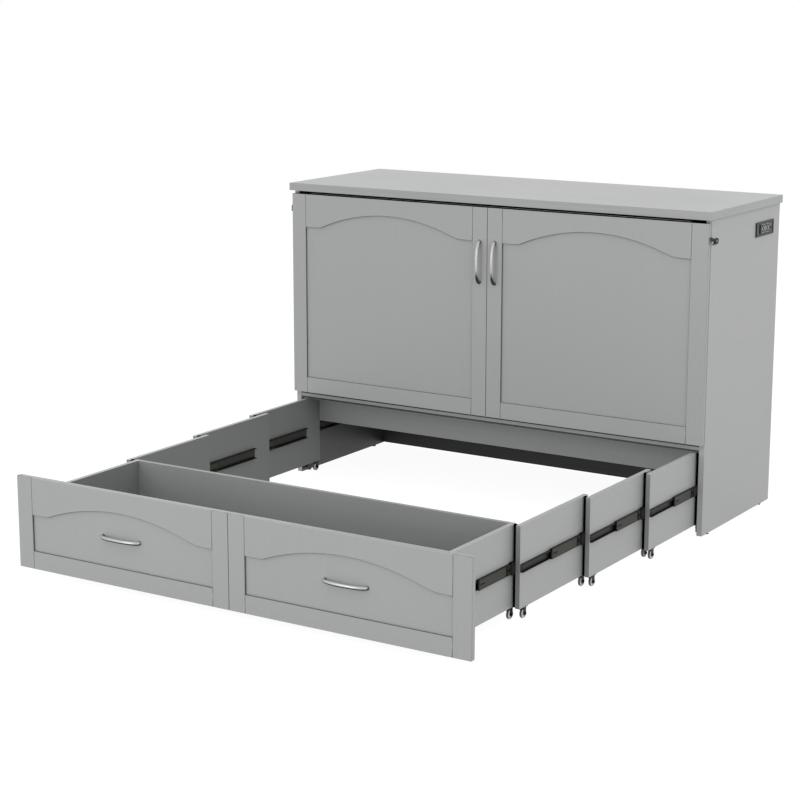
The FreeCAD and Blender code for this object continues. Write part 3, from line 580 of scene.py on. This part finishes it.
def moulded_plastic(name, colour, roughness, fleck=0.0015, sheen=0.5):
    """Moulded plastic: one colour, with a fine spark-eroded grain in its gloss and relief."""
    material, tree, place = new_material(name)
    grain = noise(tree, place, 1 / fleck)
    relief = add_node(tree, "ShaderNodeBump",
                      {"Strength": 0.1, "Distance": 0.0001, "Height": grain})
    return surfaced(material, add_node(tree, "ShaderNodeBsdfPrincipled", {
        "Base Color": linear(colour), "Specular IOR Level": sheen,
        "Roughness": spread(tree, grain, roughness - 0.06, roughness + 0.08),
        "Normal": relief.outputs["Normal"]}))


def turned(profile, centre, axis):
    """A round piece: profile rows are (distance along the axis, radius), from pole to pole.

    Point = centre + a*axis + r*(cos t * u + sin t * v), with one point at each pole.
    """
    profile, axis = np.asarray(profile, float), np.asarray(axis, float)
    u = np.cross(axis, (0.3, 0.5, 0.81))
    u /= np.linalg.norm(u)
    v = np.cross(axis, u)
    t = np.linspace(0, 2 * math.pi, TURN_STEPS, endpoint=False)[None, :, None]
    a, r = profile[1:-1].T[..., None, None]
    rings = centre + a * axis + r * (np.cos(t) * u + np.sin(t) * v)
    poles = centre + profile[[0, -1], :1] * axis
    rows = len(profile) - 2
    index = np.arange(rows * TURN_STEPS).reshape(rows, TURN_STEPS)
    first, last = rows * TURN_STEPS, rows * TURN_STEPS + 1
    ends = [[first, b, a] for a, b in zip(index[0].tolist(), np.roll(index[0], -1).tolist())]
    ends += [[last, a, b] for a, b in zip(index[-1].tolist(), np.roll(index[-1], -1).tolist())]
    return np.concatenate([rings.reshape(-1, 3), poles]), walls(index) + ends


def round_head(centre, side, radius=SCREW_RADIUS, height=SCREW_HEIGHT):
    """A round head that looks along X: a quarter-circle dome on a flat seat."""
    t = np.linspace(0, math.pi / 2, DOME_STEPS)
    dome = np.column_stack([height * np.sin(t), radius * np.cos(t)])
    return turned(np.concatenate([[(0, 0)], dome]), np.asarray(centre), (side, 0, 0))


def side_plate(outline, base, height, side, ease=0.0004):
    """A flat plate on a side: eased_strip turned a quarter turn about Z, to look to +X or -X.

    The outline is (y, z), counter-clockwise seen from +X; base is the distance from the middle.
    """
    seen = outline if side > 0 else (outline * (-1, 1))[::-1]
    points, faces = eased_strip(seen, -base, -(base + height), ease)
    return np.column_stack([-side * points[:, 1], side * points[:, 0], points[:, 2]]), faces


def right_board(stage):
    """The right-hand board that carries a stage's outer members."""
    return "side_panel_right" if stage == "cabinet" else f"{stage}_side_right"


rail_steel = plated_steel("dark_zinc_rails", "2f2f2a", 0.46, lips=(INNER_LIP, OUTER_LIP))
middle_steel = plated_steel("dark_zinc_middle", "35352f", 0.44, lips=(MIDDLE_LIP,))
screw_steel = plated_steel("screw_steel", "1c1c1a", 0.35)
black_nylon = moulded_plastic("black_nylon", "0c0c0c", 0.6, sheen=0.08)
FRONT_HALF = slice(OVAL_STEPS // 4, 3 * OVAL_STEPS // 4 + 1)
for stage in STAGES:
    finish_node(f"{stage}_slide_rails", rail_steel)
for number, (stage, outer_stage) in enumerate(zip(STAGES, STAGES[1:]), 1):
    member = f"slide_middle_{number}"
    finish_node(member, middle_steel)
    board_low, board_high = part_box(right_board(stage))
    rail_start = board_low.y + (DRAWER_RAIL_SETBACK if stage == "drawer" else STAGE_RAIL_SETBACK)
    member_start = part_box(member)[0].y
    outer_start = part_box(right_board(outer_stage))[0].y
    nose = np.concatenate([
        oval((member_start - NOSE_AHEAD, SLIDE_LEVEL), NOSE_HALF_LENGTH, NOSE_HALF_HEIGHT,
             NOSE_SQUARENESS)[FRONT_HALF],
        [(member_start + NOSE_OVERLAP, SLIDE_LEVEL - NOSE_HALF_HEIGHT),
         (member_start + NOSE_OVERLAP, SLIDE_LEVEL + NOSE_HALF_HEIGHT)]])
    marks = [oval((member_start + behind, SLIDE_LEVEL), half_long, half_high, MARK_SQUARENESS)
             for behind, half_long, half_high in NOSE_MARKS]
    marks += [oval((outer_start - ahead, SLIDE_LEVEL), half_long, half_high, LEVER_SQUARENESS)
              for ahead, half_long, half_high in LEVER_PARTS]
    middle_face = board_high.x + MIDDLE_WEB
    screws, noses = [], []
    for side in (-1, 1):
        screws += [round_head((side * (board_high.x + INNER_WEB), rail_start + share * RAIL_LENGTH,
                               SLIDE_LEVEL), side) for share in SCREW_PLACES]
        noses.append(side_plate(nose, middle_face - NOSE_THICK, NOSE_THICK, side))
        noses += [side_plate(mark, middle_face - SUNK, MARK_THICK, side, MARK_ROUND)
                  for mark in marks]
    piece(f"{stage}_slide_screws", *joined(screws), screw_steel, stage, "slide_metal",
          smooth_angle=SHARP_ANGLE)
    piece(f"slide_noses_{number}", *joined(noses), black_nylon, f"slide_{number}",
          "outlet_plastic", smooth_angle=SHARP_ANGLE)

# ---------------------------------------------------------------- painted shade in the gaps
# A near-black strip, shaped like a door's draught brush, lines the front of each gap between two
# pairs of sides, above and below the slide: painted shade for the dark of the gap. It is glued to
# the outer board and only brushes the inner.
GAP_SHADE_THICK, GAP_SHADE_DEPTH, GAP_SHADE_SET_IN = 0.0112, 0.0050, 0.0060
GAP_SHADE_LIFT, GAP_SHADE_PROUD, GAP_SHADE_DECK_GAP = 0.001, 0.0015, 0.001
GAP_SHADE_SQUARENESS, GAP_SHADE_STEPS, GAP_SHADE_SMOOTH = 4.0, 16, 60
TUFT = 0.0060                # a real tuft is about 1.5 mm wide, too fine to show from this far
TUFT_SWELL, TUFT_ROWS = 0.12, 4
SLIDE_CLEAR = 0.0205


def gap_shade_strip(x_low, x_high, y_low, z_low, z_high):
    """An upright strip of painted shade in the shape of a brush: a rounded section whose depth
    swells and dips with each tuft.

    Section = centre + (hx*C, hy*S) with superellipse C and S; hy = h*(1 + s*cos(2 pi z/tuft)).
    """
    rows = max(int((z_high - z_low) / TUFT) * TUFT_ROWS, TUFT_ROWS)
    z = np.linspace(z_low, z_high, rows)[:, None]
    ring = oval((0, 0), 1.0, 1.0, GAP_SHADE_SQUARENESS, GAP_SHADE_STEPS)
    swell = 1 + TUFT_SWELL * np.cos(2 * math.pi * z / TUFT)
    x = (x_low + x_high) / 2 + (x_high - x_low) / 2 * ring[:, 0]
    y = y_low + GAP_SHADE_DEPTH / 2 + GAP_SHADE_DEPTH / 2 * ring[:, 1] * swell
    return tube(np.stack(np.broadcast_arrays(x, y, z), -1))


gap_shade_pile = moulded_plastic("gap_shade_pile", "060606", 0.9, fleck=0.0008, sheen=0.0)
run_low, run_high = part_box("stage_4_side_right")
for stage in STAGES[1:]:
    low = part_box(right_board(stage))[0]
    top = run_high.z + (-GAP_SHADE_DECK_GAP if stage == "cabinet" else GAP_SHADE_PROUD)
    strips = []
    for side in (-1, 1):
        near, far = sorted((side * low.x, side * (low.x - GAP_SHADE_THICK)))
        for z_low, z_high in ((run_low.z + GAP_SHADE_LIFT, SLIDE_LEVEL - SLIDE_CLEAR),
                              (SLIDE_LEVEL + SLIDE_CLEAR, top)):
            strips.append(gap_shade_strip(near, far, low.y + GAP_SHADE_SET_IN, z_low, z_high))
    # Near-black strips of painted shade in the gaps.
    piece(f"{stage}_gap_shade_brushes", *joined(strips), gap_shade_pile, stage, "outlet_plastic",
          smooth_angle=GAP_SHADE_SMOOTH)

# ---------------------------------------------------------------- casters
# Small fixed casters: a pressed-steel fork, a light plastic wheel turned with a recessed web, and
# a black cap on each end of the axle. Sixteen of them carry the drawer and the sliding sides.
BORE, HUB_RADIUS, WEB_START, WEB_END, RIM_RADIUS = 0.0026, 0.0056, 0.0060, 0.0112, 0.0116
WEB_DEPTH, WHEEL_ROUND = 0.0012, 0.0024
TREAD_COSINE, WHEEL_SMOOTH = 0.6, 35
WHEEL_STEPS, TREAD_STEPS = 48, 5
CAP_RADIUS, CAP_HEIGHT, AXLE_REACH = 0.0046, 0.0014, 0.0088


def wheel_nylon():
    """Injection-moulded nylon with faint dirt, light on its faces and dark grey on its tread."""
    material, tree, place = new_material("light_nylon")
    light = mixed(tree, noise(tree, place, 180.0, 4.0), "f6f6f4", "e6e6e3")
    colour = mixed(tree, facing(tree, place, "X", TREAD_COSINE), "6e6e6c", light)
    return surfaced(material, add_node(tree, "ShaderNodeBsdfPrincipled", {
        "Base Color": colour, "Roughness": 0.38, "Specular IOR Level": 0.3}))


def caster_wheel(name):
    """A wheel as a closed profile turned about its axle: tread, shoulders, sunk web, hub, bore."""
    low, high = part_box(name)
    middle, radius, half = (low + high) / 2, (high.z - low.z) / 2, (high.x - low.x) / 2
    t = np.linspace(0, math.pi / 2, TREAD_STEPS)
    tread = np.column_stack([half - WHEEL_ROUND * (1 - np.cos(t)),
                             radius - WHEEL_ROUND * (1 - np.sin(t))])
    face = [(half, BORE), (half, HUB_RADIUS), (half - WEB_DEPTH, WEB_START),
            (half - WEB_DEPTH, WEB_END), (half, RIM_RADIUS)]
    profile = np.concatenate([face, tread])
    profile = np.concatenate([profile, profile[::-1] * (-1, 1)])
    t = np.linspace(0, 2 * math.pi, WHEEL_STEPS, endpoint=False)[None, :]
    a, r = profile[:, :1], profile[:, 1:]
    points = np.stack(np.broadcast_arrays(middle.x + a, middle.y + r * np.cos(t),
                                          middle.z + r * np.sin(t)), -1)
    index = np.arange(len(profile) * WHEEL_STEPS).reshape(len(profile), WHEEL_STEPS)
    return points.reshape(-1, 3), turned_over(walls(np.concatenate([index, index[:1]])))


fork_steel = plated_steel("fork_steel", "1c1d1d", 0.34)
light_nylon = wheel_nylon()
for stage in STAGES[:4]:
    finish_node(f"{stage}_caster_forks", fork_steel)
    for side in ("left", "right"):
        for end in ("front", "rear"):
            node = f"{stage}_wheel_{side}_{end}"
            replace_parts(piece(f"{node}_moulded", *caster_wheel(node), light_nylon, node,
                              "wheel_plastic", smooth_angle=WHEEL_SMOOTH), node)
            low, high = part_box(node)
            hub = np.array((low + high) / 2)
            caps = [round_head(hub + (way * AXLE_REACH, 0, 0), way, CAP_RADIUS, CAP_HEIGHT)
                    for way in (-1, 1)]
            piece(f"{stage}_axle_caps_{side}_{end}", *joined(caps), black_nylon, stage,
                  "fork_metal", smooth_angle=SHARP_ANGLE)

# ---------------------------------------------------------------- hinges, latches, glides
# Piano hinges in satin steel run under the front and along its top edge. A black hook on each
# side drops over a stud on the front's edge. Small feet keep the sides off the floor.
hinge_steel = satin_metal("hinge_steel", "9c9c9a", 0.34)
latch_black = plated_steel("blackened_steel", "1f1f1f", 0.45)
for material, nodes in (
        (hinge_steel, ("deck_hinge_plate", "flap_hinges_and_studs", "leaf_hinge_plate")),
        (latch_black, ("latch_plates", "latch_hook_left", "latch_hook_right")),
        (fork_steel, ("levelling_feet",))):
    for node in nodes:
        finish_node(node, material)

# ---------------------------------------------------------------- power outlet
# A low-profile outlet let into the right side: a dark grey moulded plate with a sunk face. In it
# sit a black block, two sockets with their slots and earth holes, a small lamp and a charging port.
plate_low, plate_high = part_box("power_outlet")
FACE_SUNK, RIM_SHOWN, PLATE_END = 0.0015, 0.0008, 0.001
FACE_X, FACE_START = plate_high.x - FACE_SUNK, plate_low.y + PLATE_END
FACE_LEVEL = (plate_low.z + plate_high.z) / 2
MOULDING_ROUND, END_SHADE_COSINE = 0.0002, 0.5
SOCKETS = (0.060, 0.094)     # behind the plate's front end
# Each moulding: behind the plate's front end, or for a socket's own parts behind the socket's
# middle; above the plate's middle; half length, half height, squareness; and how far it stands out.
SOCKET_FACE = (0, 0, 0.0165, 0.0155, 3.2, 0.0006)
SOCKET_HOLES = ((-0.008, -0.0085, 0.0050, 0.0028, 5.0, 0.0008),
                (0.006, -0.008925, 0.0046, 0.0026, 5.0, 0.0008),
                (-0.008, 0.0085, 0.0050, 0.0028, 5.0, 0.0008),
                (0.006, 0.008925, 0.0046, 0.0026, 5.0, 0.0008),
                (0, 0, 0.0046, 0.0036, 2.0, 0.0008))
BLOCK = (0.031, 0, 0.0060, 0.0160, 6.0, 0.0013)
LAMP = (0.121, 0.0085, 0.0045, 0.0045, 2.4, 0.0010)
CHARGING_PORT = (0.123, -0.002, 0.0075, 0.0022, 5.0, 0.0006)


def outlet_abs():
    """Moulded ABS in two greys, a dark rim and a lighter sunk face, with painted shade on the front
    and rear edges.
    """
    material, tree, place = new_material("outlet_grey_abs")
    sunk = maths(tree, "LESS_THAN", coordinate(tree, place, "X"), plate_high.x - RIM_SHOWN)
    tone = mixed(tree, sunk, "333434", "454646")
    # Painted shade: faces that look along Y are near-black.
    dark = mixed(tree, facing(tree, place, "Y", END_SHADE_COSINE), tone, "0c0c0c")
    return surfaced(material, add_node(tree, "ShaderNodeBsdfPrincipled", {
        "Base Color": dark, "Specular IOR Level": 0.3,
        "Roughness": spread(tree, noise(tree, place, 900.0), 0.36, 0.48)}))


def on_plate(moulding, socket=0):
    """A rounded moulding on the sunk face, measured from the plate's front end or a socket."""
    behind, up, half_long, half_high, squareness, proud = moulding
    middle = (FACE_START + socket + behind, FACE_LEVEL + up)
    return side_plate(oval(middle, half_long, half_high, squareness), FACE_X - SUNK, proud, 1,
                      MOULDING_ROUND)


finish_node("power_outlet", outlet_abs())
light_abs = moulded_plastic("light_grey_abs", "8f9090", 0.42, sheen=0.3)
faces = [on_plate(SOCKET_FACE, socket) for socket in SOCKETS] + [on_plate(LAMP)]
blacks = [on_plate(hole, socket) for socket in SOCKETS for hole in SOCKET_HOLES]
blacks += [on_plate(BLOCK), on_plate(CHARGING_PORT)]
piece("outlet_socket_faces", *joined(faces), light_abs, "cabinet", "outlet_plastic",
      smooth_angle=SHARP_ANGLE)
piece("outlet_slots_and_block", *joined(blacks), black_nylon, "cabinet", "outlet_plastic",
      smooth_angle=SHARP_ANGLE)

# ---------------------------------------------------------------- floor, light and camera
# A plain white floor that keeps a faint shadow, a white surround, a broad lamp low in front to
# the left and one high on the right, and the photograph's own view.
AMBIENT = 0.88
FLOOR_HALF, FLOOR_GLOW, FLOOR_CATCH, FLOOR_BOUNCE = 9.0, 0.945, 0.14, 0.45
WHITE = (1, 1, 1, 1)


def white_for_the_eye(tree, plain, shown):
    """Shows one shader to camera, glossy and transmission rays, and another to the rest."""
    path = add_node(tree, "ShaderNodeLightPath")
    seen = together(tree, "MAXIMUM", *[path.outputs[f"Is {kind} Ray"]
                                       for kind in ("Camera", "Glossy", "Transmission")])
    return add_node(tree, "ShaderNodeMixShader",
                    {0: seen, 1: plain.outputs[0], 2: shown.outputs[0]})


def softbox(name, place, aim, size, power):
    """A square area lamp at a place, turned to face a point."""
    lamp = bpy.data.lights.new(name, "AREA")
    lamp.size = size
    lamp.energy = power
    box = bpy.data.objects.new(name, lamp)
    bpy.context.scene.collection.objects.link(box)
    across, ahead, up = np.array(aim, float) - np.array(place, float)
    box.location = place
    box.rotation_euler = (math.atan2(math.hypot(across, ahead), -up), 0, math.atan2(-across, ahead))


world = bpy.data.worlds.new("studio")
bpy.context.scene.world = world
world.use_nodes = True
sky = world.node_tree
sky.nodes.clear()
surround = white_for_the_eye(
    sky, *[add_node(sky, "ShaderNodeBackground", {"Color": WHITE, "Strength": strength})
           for strength in (AMBIENT, 1.0)])
add_node(sky, "ShaderNodeOutputWorld", {"Surface": surround.outputs[0]})

floor_material, tree, _ = new_material("white_floor")
bounce, catch = [add_node(tree, "ShaderNodeBsdfDiffuse", {"Color": (grey, grey, grey, 1)})
                 for grey in (FLOOR_BOUNCE, FLOOR_CATCH)]
glow = add_node(tree, "ShaderNodeEmission", {"Color": WHITE, "Strength": FLOOR_GLOW})
shown = add_node(tree, "ShaderNodeAddShader", {0: catch.outputs[0], 1: glow.outputs[0]})
surfaced(floor_material, white_for_the_eye(tree, bounce, shown))
floor_mesh = bpy.data.meshes.new("floor")
floor_mesh.from_pydata([(x * FLOOR_HALF, y * FLOOR_HALF, 0)
                        for x, y in ((-1, -1), (1, -1), (1, 1), (-1, 1))], [], [(0, 1, 2, 3)])
floor_mesh.materials.append(floor_material)
floor = bpy.data.objects.new("floor", floor_mesh)
bpy.context.scene.collection.objects.link(floor)

softbox("front_left", place=(-1.6, -5.6, 1.1), aim=(0, -0.5, 0.3), size=2.0, power=41)
softbox("right_side", place=(4.6, -1.2, 2.6), aim=(0.4, 0.2, 0.5), size=2.6, power=16)

LENS, SENSOR, IMAGE_WIDTH = 2004.855, 36.0, 800     # the lens in pixels, the sensor in millimetres
MIDDLE_ACROSS, MIDDLE_DOWN = 391.80, 397.92         # the image's optical centre, in pixels
TURN, DIP = 0.57080, 0.21308                        # the view's angles, in radians
EYE_ACROSS, EYE_AHEAD, EYE_UP = 3.41759, 5.92782, 1.86278     # from below the front's middle
camera = bpy.data.cameras.new("camera")
camera.sensor_width = SENSOR
camera.lens = LENS * SENSOR / IMAGE_WIDTH
camera.shift_x = (IMAGE_WIDTH / 2 - MIDDLE_ACROSS) / IMAGE_WIDTH
camera.shift_y = (MIDDLE_DOWN - IMAGE_WIDTH / 2) / IMAGE_WIDTH
camera.clip_end = 60
viewer = bpy.data.objects.new("camera", camera)
bpy.context.scene.collection.objects.link(viewer)
viewer.location = (EYE_ACROSS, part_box("flap_frame")[0].y - EYE_AHEAD, EYE_UP)
viewer.rotation_euler = (math.pi / 2 - DIP, 0, TURN)
bpy.context.scene.camera = viewer
bpy.context.scene.view_settings.view_transform = "Standard"
